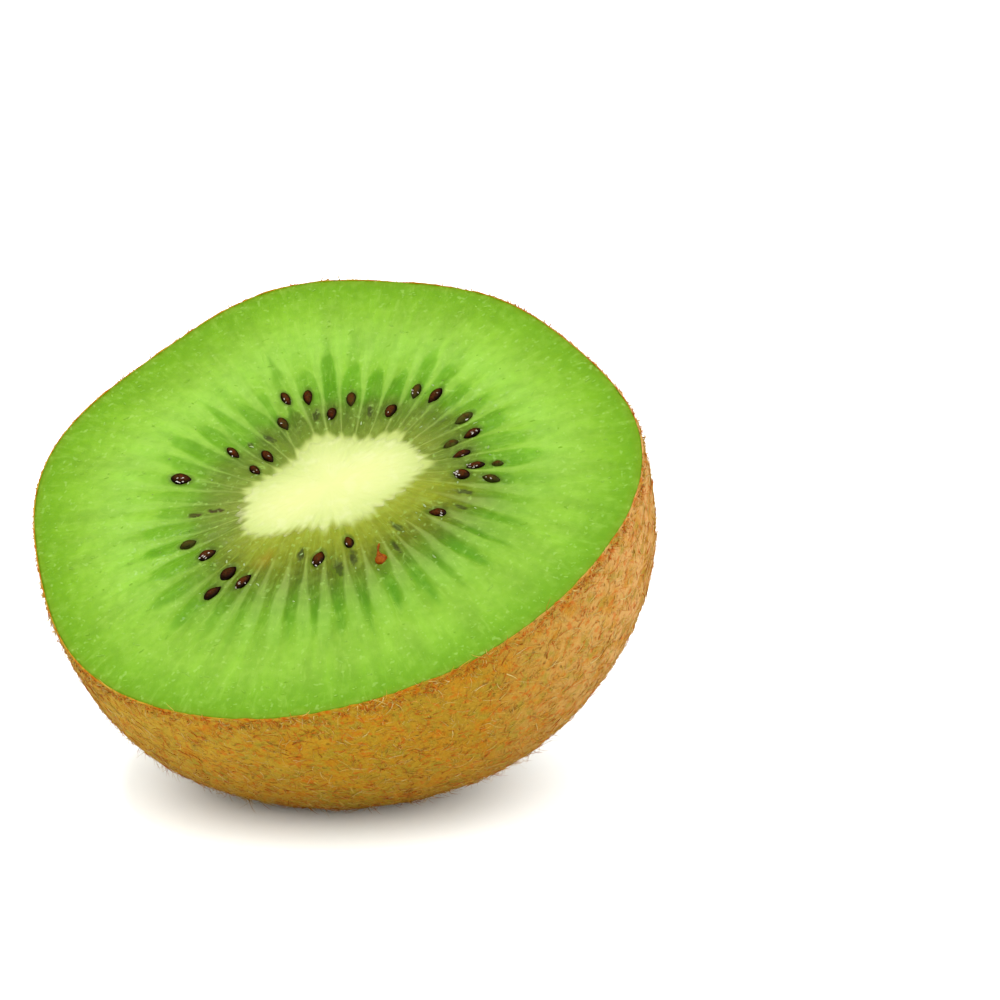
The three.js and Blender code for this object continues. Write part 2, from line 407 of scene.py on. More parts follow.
def linear(*steps):
    """A colour's red, green and blue in linear numbers, from its screen steps."""
    value = np.array(steps, dtype=float) / 255
    return BRIGHTNESS * np.where(value <= 0.04045, value / 12.92, ((value + 0.055) / 1.055) ** 2.4)


def ramp(at, stops):
    """A colour that runs straight between stops of (place, red, green, blue)."""
    places = [stop[0] for stop in stops]
    colours = np.array([linear(*stop[1:]) for stop in stops])
    return np.stack([np.interp(at, places, colours[:, part]) for part in range(3)], -1)


def mix(one, other, amount):
    """The first colour where the amount is 0 and the second where it is 1."""
    return one + (other - one) * np.asarray(amount)[..., None]


# How far out the core's pale edge comes at each step round, in steps of EDGE_STEP.
CORE_EDGE = "8544487556567656556411145421235245543334"
EDGE_STEP = 0.013
EDGE_START = -0.039
EDGE_FOOT = 0.022
EDGE_LOBE = 0.006
# The rooms between the pale walls. Each row has where its first wall stands at the shares
# WALL_NEAR and WALL_FAR, counted in pockets round the face, and how pale that wall is. Then come
# the share where the room's oval ends, how green it is, and how strong the slit beyond it is.
# Past the share WALL_STRAIGHT a wall keeps its place.
WALL_NEAR = 0.15
WALL_FAR = 0.45
WALL_STRAIGHT = 0.62
SLIT_START = 0.28
SLIT_END = 0.70
ROOMS = np.array((
    (0.3, 0.25, 5, 0.52, 5, 1), (1.2, 1.4, 5, 0.5, 6, 2), (2.5, 2.55, 4, 0.5, 5, 2),
    (3.62, 3.72, 6, 0.5, 6, 1), (4.7, 4.75, 5, 0.55, 6, 3), (5.5, 5.78, 5, 0.6, 7, 3),
    (6.35, 6.65, 7, 0.45, 9, 0), (7.45, 7.62, 6, 0.45, 8, 1), (8.62, 8.72, 7, 0.48, 7, 3),
    (9.8, 9.85, 6, 0.55, 8, 3), (10.72, 10.7, 9, 0.45, 5, 0), (11.62, 11.8, 8, 0.27, 4, 6),
    (13.05, 12.55, 4, 0.44, 5, 0), (13.18, 13.38, 7, 0.45, 6, 3), (14.2, 14.42, 7, 0.55, 6, 3),
    (15.45, 15.15, 6, 0.5, 6, 2), (16.35, 15.95, 6, 0.55, 6, 3), (17.2, 16.9, 6, 0.5, 5, 2),
    (18, 17.65, 5, 0.45, 3, 2), (18.5, 18.5, 6, 0.42, 4, 0), (19.4, 19.4, 6, 0.42, 5, 0),
    (20.42, 20.28, 6, 0.5, 5, 2), (21.5, 21.3, 5, 0.52, 7, 3), (22.45, 22.35, 5, 0.5, 7, 1),
    (23.6, 23.5, 5, 0.58, 6, 2), (24.7, 24.58, 5, 0.6, 5, 3), (25.6, 25.72, 5, 0.5, 6, 3),
    (26.48, 26.55, 6, 0.5, 5, 2), (27.15, 27.4, 8, 0.45, 4, 1), (28.15, 28.38, 8, 0.5, 7, 4),
    (29.12, 29.35, 8, 0.5, 7, 5), (30.2, 30.2, 8, 0.5, 7, 6), (31.25, 31.22, 8, 0.5, 6, 6),
    (32.28, 32.18, 8, 0.42, 5, 9), (33.5, 33.28, 8, 0.42, 5, 8), (34.2, 34.3, 8, 0.5, 5, 4),
    (35.2, 35.1, 8, 0.45, 7, 8), (36, 36.02, 7, 0.5, 5, 6), (36.75, 36.7, 7, 0.45, 4, 6),
    (37.65, 37.6, 7, 0.45, 4, 2), (38.4, 38.4, 9, 0.48, 6, 4), (39.2, 39.35, 7, 0.55, 7, 2),
))

TISSUE_ABOVE = (
    (0, 146, 160, 62), (0.12, 144, 168, 62), (0.25, 136, 184, 50), (0.45, 150, 206, 56),
    (0.58, 158, 214, 70), (0.7, 155, 209, 62), (0.8, 142, 197, 44), (0.88, 130, 187, 26),
    (0.95, 120, 178, 10), (1, 124, 164, 6),
)
TISSUE_BELOW = (
    (0, 166, 178, 46), (0.1, 150, 162, 34), (0.2, 134, 150, 28), (0.32, 120, 160, 34),
    (0.5, 128, 182, 36), (0.64, 147, 200, 52), (0.76, 148, 202, 54), (0.86, 134, 191, 38),
    (0.95, 120, 178, 16), (1, 122, 164, 10),
)
POCKET_ABOVE = (
    (0, 130, 146, 42), (0.08, 112, 134, 32), (0.18, 92, 116, 20), (0.23, 94, 126, 18),
    (0.29, 94, 156, 0), (0.38, 104, 170, 4), (0.48, 112, 180, 16), (0.6, 138, 200, 46),
    (1, 150, 208, 56),
)
POCKET_BELOW = (
    (0, 160, 168, 38), (0.1, 142, 152, 22), (0.18, 116, 127, 12), (0.26, 95, 112, 6),
    (0.36, 90, 124, 10), (0.46, 96, 148, 6), (0.6, 102, 166, 4), (1, 150, 208, 56),
)
WALL_ABOVE = (
    (0, 180, 196, 96), (0.15, 142, 166, 72), (0.22, 148, 182, 76), (0.32, 156, 206, 72),
    (0.5, 168, 220, 84), (1, 162, 214, 72),
)
WALL_BELOW = (
    (0, 200, 210, 90), (0.15, 156, 170, 64), (0.28, 148, 169, 80), (0.42, 144, 187, 72),
    (0.56, 154, 208, 70), (1, 158, 212, 66),
)
SLIT_GREEN = linear(86, 156, 0)
SUNKEN_SEED = linear(62, 66, 8)
BROWN_SEED = linear(66, 40, 0)
SEED_SHADE = linear(76, 96, 14)
ORANGE_TINT = linear(196, 150, 30)
# Where the lower side starts and ends, in degrees round the face. Then come the middle and the
# power of the right side, where the olive flesh goes further out, and of the left side, where
# the pockets are paler by the core.
LOWER_START = (196, 232)
LOWER_END = (338, 360)
RIGHT_SIDE = (15, 3)
LEFT_SIDE = (178, 4)
# A faint orange stain: its degrees round the face, its share, and how far it goes each way.
STAIN_ANGLE = 239
STAIN_WIDTH = 4
STAIN_SHARE = 0.15
STAIN_REACH = 0.05
# Heights of the finest relief, and how far round a seed its shade goes.
WALL_CREST = 0.04
SLIT_DEPTH = 0.08
WET_RIM = 0.07
SHADE_MARGIN = 0.1
CORE_PALE = (
    (-0.4, 250, 254, 168), (-0.2, 246, 252, 166), (-0.1, 238, 247, 160), (-0.04, 224, 238, 146),
    (0.05, 206, 222, 122),
)


def edge_step(angle):
    """The step of the core's edge at an angle: the digits of CORE_EDGE, joined by S curves."""
    digits = [float(mark) for mark in CORE_EDGE]
    return blended(np.array((digits, digits)), angle, np.zeros_like(angle))


def lowness(angle):
    """1 on the lower side of the face, where the flesh by the core is yellower, and 0 above."""
    degrees = np.mod(angle / DEGREE, 360)
    return smooth(*LOWER_START, degrees) * (1 - smooth(*LOWER_END, degrees))


def nearness(angle, middle, power):
    """1 at the middle of a side and 0 a quarter round from it: a cosine to a power."""
    return np.clip(np.cos(angle - middle * DEGREE), 0, 1) ** power


def even_share(angle, share):
    """The share past an edge of the core without its teeth."""
    return share + (1 - share) * TOOTH * wallness(angle) / span(angle)


def find_room(angle, share):
    """The room that each place is in, and how far it is past its wall and short of the next.

    Distances are counted in pockets round the face. Each wall runs straight from its place near
    the core through its place further out, and a little noise makes them all wander.
    """
    count = np.mod(angle / ROUND, 1) * POCKETS + 0.07 * noise(angle, share, 70, 7, 3)
    out = (np.clip(share, 0, WALL_STRAIGHT) - WALL_NEAR) / (WALL_FAR - WALL_NEAR)
    room = np.zeros(count.shape, dtype=int)
    past = np.full(count.shape, float(POCKETS))
    ahead = np.full(count.shape, float(POCKETS))
    for number, (near, far) in enumerate(ROOMS[:, :2]):
        beyond = np.mod(count - near - (far - near) * out, POCKETS)
        room = np.where(beyond < past, number, room)
        past = np.minimum(past, beyond)
        ahead = np.minimum(ahead, POCKETS - beyond)
    return room, past, ahead


def face_masks(angle, share):
    """The amounts of pocket, slit, wall and core at each place, between 0 and 1.

    A pocket fills its room between two walls up to its rounded end, then narrows to a slit.
    Walls are thin by the core and widen on their way out. The core's edge runs up each wall in
    a foot and dips in a lobe between them.
    """
    share = even_share(angle, share)
    low = lowness(angle)
    room, past, ahead = find_room(angle, share)
    nearest = np.minimum(past, ahead)
    pale = ROOMS[np.where(past < ahead, room, (room + 1) % len(ROOMS)), 2] / 9
    end, green, slit_strength = ROOMS[room, 3], ROOMS[room, 4] / 8, ROOMS[room, 5] / 9
    off = np.abs(past - ahead) / (past + ahead)
    off = off + (0.05 + 0.15 * share) * noise(angle, share, 170, 16, 27)

    edge = EDGE_START + EDGE_STEP * edge_step(angle) + 0.006 * ring_noise(angle, 170, 9)
    edge = edge + EDGE_FOOT * (1 - smooth(0.0, 0.40, nearest)) - EDGE_LOBE
    blur = 0.024 + 0.010 * low
    core = 1 - smooth(-blur, blur, share - edge)

    end = end + 0.025 * ring_noise(angle, 160, 5)
    along = np.clip(share / end, 0, 1.4)
    half = (0.98 - 0.08 * low * smooth(0.25, 0.5, share)) * np.clip(1 - along ** 3.4, 0, 1) ** 0.5
    softness = 0.08 + (0.12 + 0.16 * low) * share
    pocket = smooth(-softness, softness, half - off) * smooth(-0.005, 0.03, share - edge)
    pocket = pocket * (1 - smooth(0.88, 1.08, along))
    pocket = pocket * (1 - smooth(0.22, 0.32, share) * (1 - np.clip(green, 0, 1)))
    pocket = pocket * (1 - 0.5 * low * smooth(0.17, 0.10, share))
    pocket = pocket * (1 - 0.4 * nearness(angle, *LEFT_SIDE) * smooth(0.38, 0.28, share))

    slit_end = SLIT_END + 0.04 * ring_noise(angle, 120, 7)
    reach = np.clip((share - SLIT_START) / (slit_end - SLIT_START), 0, 1)
    slit_half = 0.50 * np.clip(1 - reach ** 1.8, 0, 1)
    slit = smooth(-0.25, 0.25, slit_half - off) * smooth(0.30, 0.46, share)
    slit = slit * (1 - smooth(0.7, 1.0, reach)) * slit_strength * (0.65 + 0.20 * low)

    wide = 0.055 + (0.11 + 0.06 * low) * smooth(0.14, 0.46, share)
    wide = wide * (1 + 0.25 * noise(angle, share, 80, 8, 17))
    edging = 0.035 + 0.06 * share
    wall = (1 - smooth(-edging, edging, nearest - wide)) * smooth(0.0, 0.03, share - edge)
    wall = wall * pale * (1 - smooth(0.48, 0.74, share)) * (1 - 0.85 * low * smooth(0.20, 0.12, share))
    return pocket, slit, wall, core


def face_colour(angle, share):
    """The colour of the cut at an angle and a share, below 0 inside the core.

    Tissue, pockets, slits, walls, seeds' shadows and the pale core are laid over each other.
    """
    low = lowness(angle)
    pocket, slit, wall, core = face_masks(angle, share)
    even = even_share(angle, share)
    ripe = even - 0.055 * nearness(angle, *RIGHT_SIDE) * smooth(0.62, 0.42, even) * smooth(0.0, 0.08, even)
    uneven = ripe + 0.035 * ring_noise(angle, 40, 15)
    colour = mix(ramp(ripe, TISSUE_ABOVE), ramp(ripe, TISSUE_BELOW), low)
    streak = noise(angle, share, 110, 5, 23) + 0.6 * noise(angle, share, 230, 8, 24)
    colour = colour * (1 + 0.10 * streak * smooth(0.3, 0.55, share) * smooth(1.0, 0.8, share))[..., None]
    inside = mix(ramp(uneven, POCKET_ABOVE), ramp(uneven, POCKET_BELOW), low)
    mottle = 0.12 * noise(angle, share, 90, 14, 25)
    mottle = mottle + (0.05 + 0.10 * low) * noise(angle, share, 300, 45, 26)
    inside = inside * (1 + mottle)[..., None]
    depth = 0.92 + (0.18 + 0.14 * low) * noise(angle, share, 80, 9, 11)
    colour = mix(colour, inside, pocket * np.clip(depth, 0, 1))
    colour = mix(colour, SLIT_GREEN, slit * 0.9)
    pale = mix(ramp(ripe, WALL_ABOVE), ramp(ripe, WALL_BELOW), low)
    colour = mix(colour, pale, wall * np.clip(0.85 + 0.35 * noise(angle, share, 90, 8, 13), 0, 1))
    across = (np.mod(angle / DEGREE, 360) - STAIN_ANGLE) / STAIN_WIDTH
    tint = np.exp(-(across ** 2) - ((share - STAIN_SHARE) / STAIN_REACH) ** 2)
    colour = mix(colour, ORANGE_TINT, 0.35 * tint)
    flat = face_spot(angle, share)
    ragged = 0.3 * noise(angle, share, 400, 70, 19)
    for *seed, brown in SUNKEN_SEEDS:
        shadow = 1 - smooth(0.55, 1.2, seed_reach(flat, seed) + ragged)
        colour = mix(colour, BROWN_SEED if brown else SUNKEN_SEED, 0.92 * shadow)
    for seed in SEEDS:
        shade = 1 - smooth(0.85, 1.4, seed_reach(flat, seed, SHADE_MARGIN))
        colour = mix(colour, SEED_SHADE, 0.6 * shade)
    return mix(colour, ramp(even, CORE_PALE), core)


def face_relief(angle, share):
    """The face's height with finer forms: wall crests, slits, a wet rim round each seed."""
    _, slit, wall, core = face_masks(angle, share)
    height = face_height(angle, share) + WALL_CREST * wall * (1 - core) - SLIT_DEPTH * slit
    height = height + 0.025 * noise(angle, share, 260, 30, 21)
    height = height + 0.018 * noise(angle, share, 420, 60, 22)
    flat = face_spot(angle, share)
    for seed in SEEDS + SUNKEN_SEEDS:
        height = height + WET_RIM * np.exp(-(((seed_reach(flat, seed) - 1.25) / 0.25) ** 2))
    return height * smooth(1.0, 0.985, share) * smooth(0.014, 0.045, share)


# ---- Flesh, core and skin ----

INSIDE_SKIN = SKIN_THICKNESS + CLEAR


def rows_of(values, columns):
    """An angle for each column and a value for each row, as two grids."""
    return np.meshgrid(np.arange(columns) / columns * ROUND, values)


def grain_vector(angle, share):
    """A place on a cylinder, so that a pattern can be drawn out from core to rim."""
    return raised(spot(20, angle), 5 * share)


def cut_piece(name, corners, angles, shares, first=None, **values):
    """A piece of the cut, whose corners carry their colour and their place in the grain."""
    colour = closed(face_colour(angles, shares), first)
    return new_piece(
        name, corners, ring_faces(*shares.shape), **values,
        grain=closed(grain_vector(angles, shares)), flesh_colour=np.insert(colour, 3, 1.0, axis=-1),
    )


def core_side(angle, down, growth, sink=0.0):
    """The column under the core's edge: narrowed by a power of how far down it is."""
    width = np.sqrt(1 - down ** CORE_TAPER)
    flat = core_offset(angle, growth) * width[..., None] + CORE_CENTRE
    return raised(flat, -CORE_REACH * DEPTH * down - sink)


def far_end(inset=0.0):
    """The middle of the far end."""
    return side_point(np.zeros(1), np.ones(1), inset)[0]


def make_flesh():
    """One closed surface: up the core's room, out over the cut, and down inside the skin."""
    shaft_angle, down = rows_of(np.linspace(1, 0, SHAFT_ROWS + 2)[1:-1], FACE_COLUMNS)
    shaft = core_side(shaft_angle, down, ROOM_GROWTH, ROOM_GROWTH)

    face_angle, share = rows_of(np.linspace(0, 1, FACE_ROWS) ** FACE_CROWDING, FACE_COLUMNS)
    inner = core_offset(face_angle, ROOM_GROWTH) + CORE_CENTRE
    flat = inner + (rim_point(face_angle, INSIDE_SKIN) - inner) * share[..., None]
    length = span(face_angle)
    share = share * (1 - (ROOM_GROWTH + SKIN_THICKNESS) / length) + ROOM_GROWTH / length
    face = raised(flat, face_relief(face_angle, share))

    side_angle, run = rows_of(np.linspace(0, 1, HIDDEN_SIDE_ROWS + 2)[1:-1], FACE_COLUMNS)
    side = side_point(side_angle, run, INSIDE_SKIN)
    side[..., 2] += END_INSET * smooth(0.55, 0.8, run)

    rings = np.concatenate((shaft, face, side))
    start = np.array((*CORE_CENTRE, -CORE_REACH * DEPTH - ROOM_GROWTH))
    end = far_end(INSIDE_SKIN) + np.array((0, 0, END_INSET))
    angles = np.concatenate((shaft_angle, face_angle, side_angle))
    shares = np.concatenate((0 * shaft_angle, share, np.ones_like(side_angle)))
    corners = tipped(closed(rings, start, end), INSIDE_SKIN)
    cream = closed(face_masks(angles, shares)[-1][..., None], np.ones(1), np.zeros(1))
    return cut_piece("cut_flesh", corners, angles, shares, cream=cream)


def make_core():
    """A closed column: out over its crowned top, round a thin lip that lies over the flesh,
    then down the tapering shaft to its tip."""
    top_angle, out = rows_of(np.linspace(0, 1, CORE_ROWS + 1)[1:], FACE_COLUMNS)
    height = CORE_CROWN * (1 - out ** 2) + LIP_HEIGHTS[0]
    height = height + 0.03 * noise(top_angle, out, 90, 9, 31) * out * smooth(1, 0.9, out)
    top = raised(core_offset(top_angle, CORE_GROWTH) * out[..., None] + CORE_CENTRE, height)

    lip_angle, growth = rows_of(LIP_GROWTHS, FACE_COLUMNS)
    reach = 1 + (growth - CORE_GROWTH) / np.linalg.norm(core_offset(lip_angle), axis=-1)
    flat = core_offset(lip_angle, CORE_GROWTH) * reach[..., None] + CORE_CENTRE
    lip = raised(flat, np.broadcast_to(LIP_HEIGHTS[:, None], growth.shape))

    shaft_angle, down = rows_of(np.linspace(0, 1, CORE_SHAFT_ROWS + 2)[1:-1], FACE_COLUMNS)
    rings = np.concatenate((top, lip, core_side(shaft_angle, down, CORE_GROWTH)))
    start = np.array((*CORE_CENTRE, CORE_CROWN + LIP_HEIGHTS[0]))
    end = np.array((*CORE_CENTRE, -CORE_REACH * DEPTH))
    radius = np.linalg.norm(core_offset(top_angle, CORE_GROWTH), axis=-1)
    share = ((out - 1) * radius + CORE_GROWTH) / span(top_angle)
    angles = np.concatenate((top_angle, lip_angle, shaft_angle))
    shares = np.concatenate((share, growth / span(lip_angle), 0 * shaft_angle))
    middle = face_colour(angles[0], shares[0]).mean(0)
    return cut_piece("pale_core", tipped(closed(rings, start, end)), angles, shares, middle)


def skin_bumps(angle, run):
    """How far the dry skin stands out: low lumps and finer ones, faded out at both ends."""
    fade = smooth(0, 0.02, run) * smooth(1.0, 0.93, run)
    lumps = 0.05 * noise(angle, run, 90, 24, 41)
    pimples = 0.05 * noise(angle, run, 280, 80, 42)
    return (lumps + pimples) * fade - 0.05


def skin_point(angle, run):
    """The outside of the skin: the side, with its bumps along the way that it faces."""
    return side_point(angle, run) + side_normal(angle, run) * skin_bumps(angle, run)[..., None]


def make_skin():
    """A closed thin shell: down its inner face, round the far end and back up outside."""
    steps = np.linspace(0, 1, INNER_SKIN_ROWS + 1)[1:]
    inner_angle, inner_run = rows_of(1 - steps ** INNER_SKIN_CROWDING, SKIN_COLUMNS)
    outer_angle, outer_run = rows_of(np.linspace(0, 1, SKIN_ROWS + 1)[:-1], SKIN_COLUMNS)
    inner = side_point(inner_angle, inner_run, SKIN_THICKNESS)
    outer = skin_point(outer_angle, outer_run)
    ragged = 0.06 * ring_noise(outer_angle[0], 300, 43)
    ragged = ragged + 0.06 * ring_noise(outer_angle[0], 90, 44)
    inner[-1, :, 2] += ragged
    outer[0, :, 2] += ragged
    rings = np.concatenate((tipped(inner, SKIN_THICKNESS), tipped(outer, 0.0)))
    start = tipped(far_end(SKIN_THICKNESS), SKIN_THICKNESS)
    run = np.concatenate((inner_run, outer_run))
    return new_piece(
        "skin", closed(rings, start, tipped(far_end(), 0.0)), ring_faces(len(rings), SKIN_COLUMNS),
        run=closed(run[..., None], np.ones(1), np.ones(1)),
    )


# ---- Shapes of the seeds ----

SEED_ROUND = 20
SEED_LONG = 14
STALK_ROUND = 8
STALK_LONG = 10


def seed_shape(length, width, thickness):
    """A pointed egg along x, widest past its middle: each ring's size is a power of a sine.

    Its corners run from the tip at -x to the blunt end at +x.
    """
    along = np.linspace(0, 1, SEED_LONG + 2)[1:-1, None]
    size = np.sin(math.pi * along ** 1.2) ** 0.72
    turn = np.arange(SEED_ROUND) / SEED_ROUND * ROUND
    x = (along - 0.5) * length + 0 * turn
    rings = np.stack((x, size * np.cos(turn) * width / 2, size * np.sin(turn) * thickness / 2), -1)
    return closed(rings, np.array((-length / 2, 0, 0)), np.array((length / 2, 0, 0)))


def placed_on_face(points, pose, sink=0.0):
    """Points set on the cut and tipped back with it.

    Their pose is an angle, a share and a direction in the cut's plane.
    """
    angle, share, direction = pose
    turn = np.array((
        (math.cos(direction), math.sin(direction), 0),
        (-math.sin(direction), math.cos(direction), 0),
        (0, 0, 1),
    ))
    flat = face_spot(np.array(angle), share)
    height = face_height(np.array(angle), np.array(share))
    return tipped(points @ turn + np.array((*flat, height - sink)))


def make_seeds():
    """All the dark seeds on the cut, each a pointed egg that looks out from the core."""
    random = np.random.default_rng(61)
    shapes, crowns, veils = [], [], []
    for *pose, length, width, veil, _ in SEEDS:
        shape = seed_shape(length, width, SEED_THICKNESS)
        reach = np.hypot(shape[:, 0] / (length / 2), shape[:, 1] / (width / 2))
        # The crown, a lighter top to each seed: partly its own brown, partly painted light for wet
        # reflection.
        crown = (1 - smooth(0.3, 0.9, reach)) * (shape[:, 2] > 0)
        crowns.append(random.uniform(0.75, 1.5) * crown)
        veils.append(veil)
        shapes.append(placed_on_face(shape, seed_pose(*pose), SEED_SINK))
    return new_heap("dark_seeds", shapes, ring_faces(SEED_LONG, SEED_ROUND), crown=crowns, veil=veils)


def make_orange_seed():
    """The one unripe seed: a small blunt egg with a thin tapering stalk towards the core."""
    body = seed_shape(1.35, 1.15, 0.9)
    body[:, 0] += 0.25
    along = np.linspace(0, 1, STALK_LONG)[:, None]
    turn = np.arange(STALK_ROUND) / STALK_ROUND * ROUND
    radius = 0.09 + 0.15 * along ** 3 + 0.03 * np.sin(9 * along)
    x = -1.35 + 1.25 * along + 0 * turn
    y = radius * np.cos(turn) + 0.45 * (1 - along) ** 2
    rings = np.stack((x, y, 0.1 + radius * np.sin(turn)), -1)
    stalk = closed(rings, np.array((-1.4, 0.46, 0.1)), np.array((-0.05, 0, 0.1)))
    points = placed_on_face(np.concatenate((body, stalk)), seed_pose(*ORANGE_SEED), 0.05)
    stalk_faces = ring_faces(STALK_LONG, STALK_ROUND, len(body))
    faces = np.concatenate((ring_faces(SEED_LONG, SEED_ROUND), stalk_faces))
    return new_piece("orange_seed", points, faces)


# ---- Small wet things on the cut ----

BEAD_ROUND = 6
BEAD_LONG = 4
BEAD_FACES = ring_faces(BEAD_LONG, BEAD_ROUND)


def bead_shape(length, width, height, bend):
    """A low rounded bead along x, bent sideways: six corners round and four rings along."""
    along = np.linspace(0, 1, BEAD_LONG + 2)[1:-1, None]
    size = np.sin(math.pi * along) ** 0.6
    turn = np.arange(BEAD_ROUND) / BEAD_ROUND * ROUND
    x = (along - 0.5) * length + 0 * turn
    y = size * np.cos(turn) * width / 2 + bend * (2 * along - 1) ** 2
    rings = np.stack((x, y, size * np.sin(turn) * height), -1)
    return closed(rings, np.array((-length / 2, bend, 0)), np.array((length / 2, bend, 0)))


def scattered(count, draw, low, high):
    """Angles and shares of places spread evenly over the cut between two shares."""
    random = np.random.default_rng(draw)
    return random.random(count) * ROUND, np.sqrt(random.uniform(low ** 2, high ** 2, count))


def lay_beads(name, places, draw, lengths, widths, height, sway):
    """Small beads laid on the cut at angles and shares, as one mesh.

    The sway is how far their ways spread from the cut's x axis.
    """
    random = np.random.default_rng(draw)
    shapes, tints = [], []
    for angle, share in zip(*places):
        length = random.uniform(*lengths) * random.uniform(0.5, 1)
        width = random.uniform(*widths)
        shape = bead_shape(length, width, height, 0.12 * length * random.uniform(-1, 1))
        shapes.append(placed_on_face(shape, (angle, share, random.normal(0, sway))))
        tints.append(random.random())
    return new_heap(name, shapes, BEAD_FACES, tint=tints)


# Bright glints beside the seeds, painted as pale beads: (place in pockets round the face, steps out).
GLINTS = (
    (0.05, 8), (0.6, 8.3), (1.7, 8.3), (1.55, 5.6), (2.2, 8.2), (3.95, 5), (4.1, 3.2),
    (4.8, 9.9), (5.5, 10), (5.95, 7.4), (7.75, 5), (8.3, 3.1), (12.1, 7.5), (15.05, 5.4),
    (15.6, 3), (16.2, 5), (16.8, 1.8), (17.8, 5.4), (18.15, 7.6), (18.4, 9.2), (20.5, 1.9),
    (23.1, 6.7), (24.1, 3.3), (24.5, 5.1), (25, 9.8), (25.5, 4.8), (26.6, 7.5), (27, 7.2),
    (28.6, 3.7), (28.9, 9.9), (29.5, 10), (31.7, 6.7), (32.6, 8.2), (34.65, 5.2),
    (34.7, 10.4), (35.7, 5), (35.9, 3.8), (36.2, 6.8), (36.6, 4), (37.3, 9), (38.6, 5.3),
    (38.8, 6.4), (39.5, 6.6),
)


def glint_places():
    """Angles and shares of the glints."""
    place, steps = np.array(GLINTS).T
    return place / POCKETS * ROUND, steps * SEED_STEP


# The side of a seed where most of its beads of painted highlight stand, as a direction in the cut's plane.
GLINT_SIDE = 4.5


def make_seed_glints():
    """Painted highlights: tiny near-white beads round the shoulders of the dark seeds, as one mesh.

    Each seed's beads stand close together on the side where its highlights fall, and lie along it.
    """
    random = np.random.default_rng(74)
    shapes, tints = [], []
    for *pose, length, width, _, beads in SEEDS:
        pose = seed_pose(*pose)
        side = GLINT_SIDE - pose[2] + random.uniform(-0.6, 0.6)
        for _ in range(beads):
            around = side + random.normal(0, 0.6)
            out = random.uniform(0.35, 0.95)
            shape = bead_shape(random.uniform(0.12, 0.36), random.uniform(0.06, 0.13), 0.05, 0.03)
            lean = random.normal(0, 0.5)
            x = shape[:, 0] * math.cos(lean) - shape[:, 1] * math.sin(lean)
            y = shape[:, 0] * math.sin(lean) + shape[:, 1] * math.cos(lean)
            x = x + out * length / 2 * math.cos(around)
            y = y + out * width / 2 * math.sin(around)
            z = shape[:, 2] + SEED_THICKNESS / 2 * math.sqrt(1 - (0.95 * out) ** 2)
            shapes.append(placed_on_face(np.stack((x, y, z), -1), pose, SEED_SINK))
            tints.append(random.random())
    return new_heap("seed_glints", shapes, BEAD_FACES, tint=tints)


# ---- Fuzz ----

# The hairs of the skin: name, how many, draw, shortest and longest, how steeply they rise, the
# radius of their foot, how much their ways differ, and how far down the side they grow.
HAIRS = (
    ("short_fuzz_1", 9000, 60, (0.5, 1.2), 0.09, 0.024, 0.9, 1.0),
    ("short_fuzz_2", 9000, 70, (0.5, 1.2), 0.09, 0.024, 0.9, 1.0),
    ("curled_hairs", 4600, 90, (0.9, 2.0), 0.14, 0.054, 1.2, 1.0),
    ("long_hairs", 4200, 97, (1.0, 2.2), 0.65, 0.026, 1.4, 1.0),
    ("rim_fuzz", 2000, 98, (0.4, 0.9), 1.0, 0.058, 1.5, 0.03),
)
# Where the rings of a hair are, as shares of its length, and the corners of each.
HAIR_RINGS = np.array((0.0, 0.4, 0.75))
HAIR_SIDES = 3


def skin_places(count, random, far):
    """Places spread evenly over the skin down to a run, weighted by how far round it is there."""
    runs = np.linspace(0, far, 400)
    width, _ = profile(np.interp(runs, ARC_SHARES, TURNS))
    weight = np.cumsum(width)
    run = np.interp(random.random(count), weight / weight[-1], runs)
    return random.random(count) * ROUND, run


def hair_faces():
    """A closed foot, triangles between the rings of a hair, and its tip."""
    rings = np.arange(HAIR_RINGS.size * HAIR_SIDES).reshape(-1, HAIR_SIDES)
    right = np.roll(rings, -1, axis=1)
    tip = np.full(HAIR_SIDES, rings.size)
    return np.concatenate((
        rings[:1, (0, 2, 1)],
        np.stack((rings[:-1], right[:-1], right[1:]), -1).reshape(-1, 3),
        np.stack((rings[:-1], right[1:], rings[1:]), -1).reshape(-1, 3),
        np.stack((rings[-1], right[-1], tip), -1),
    ))


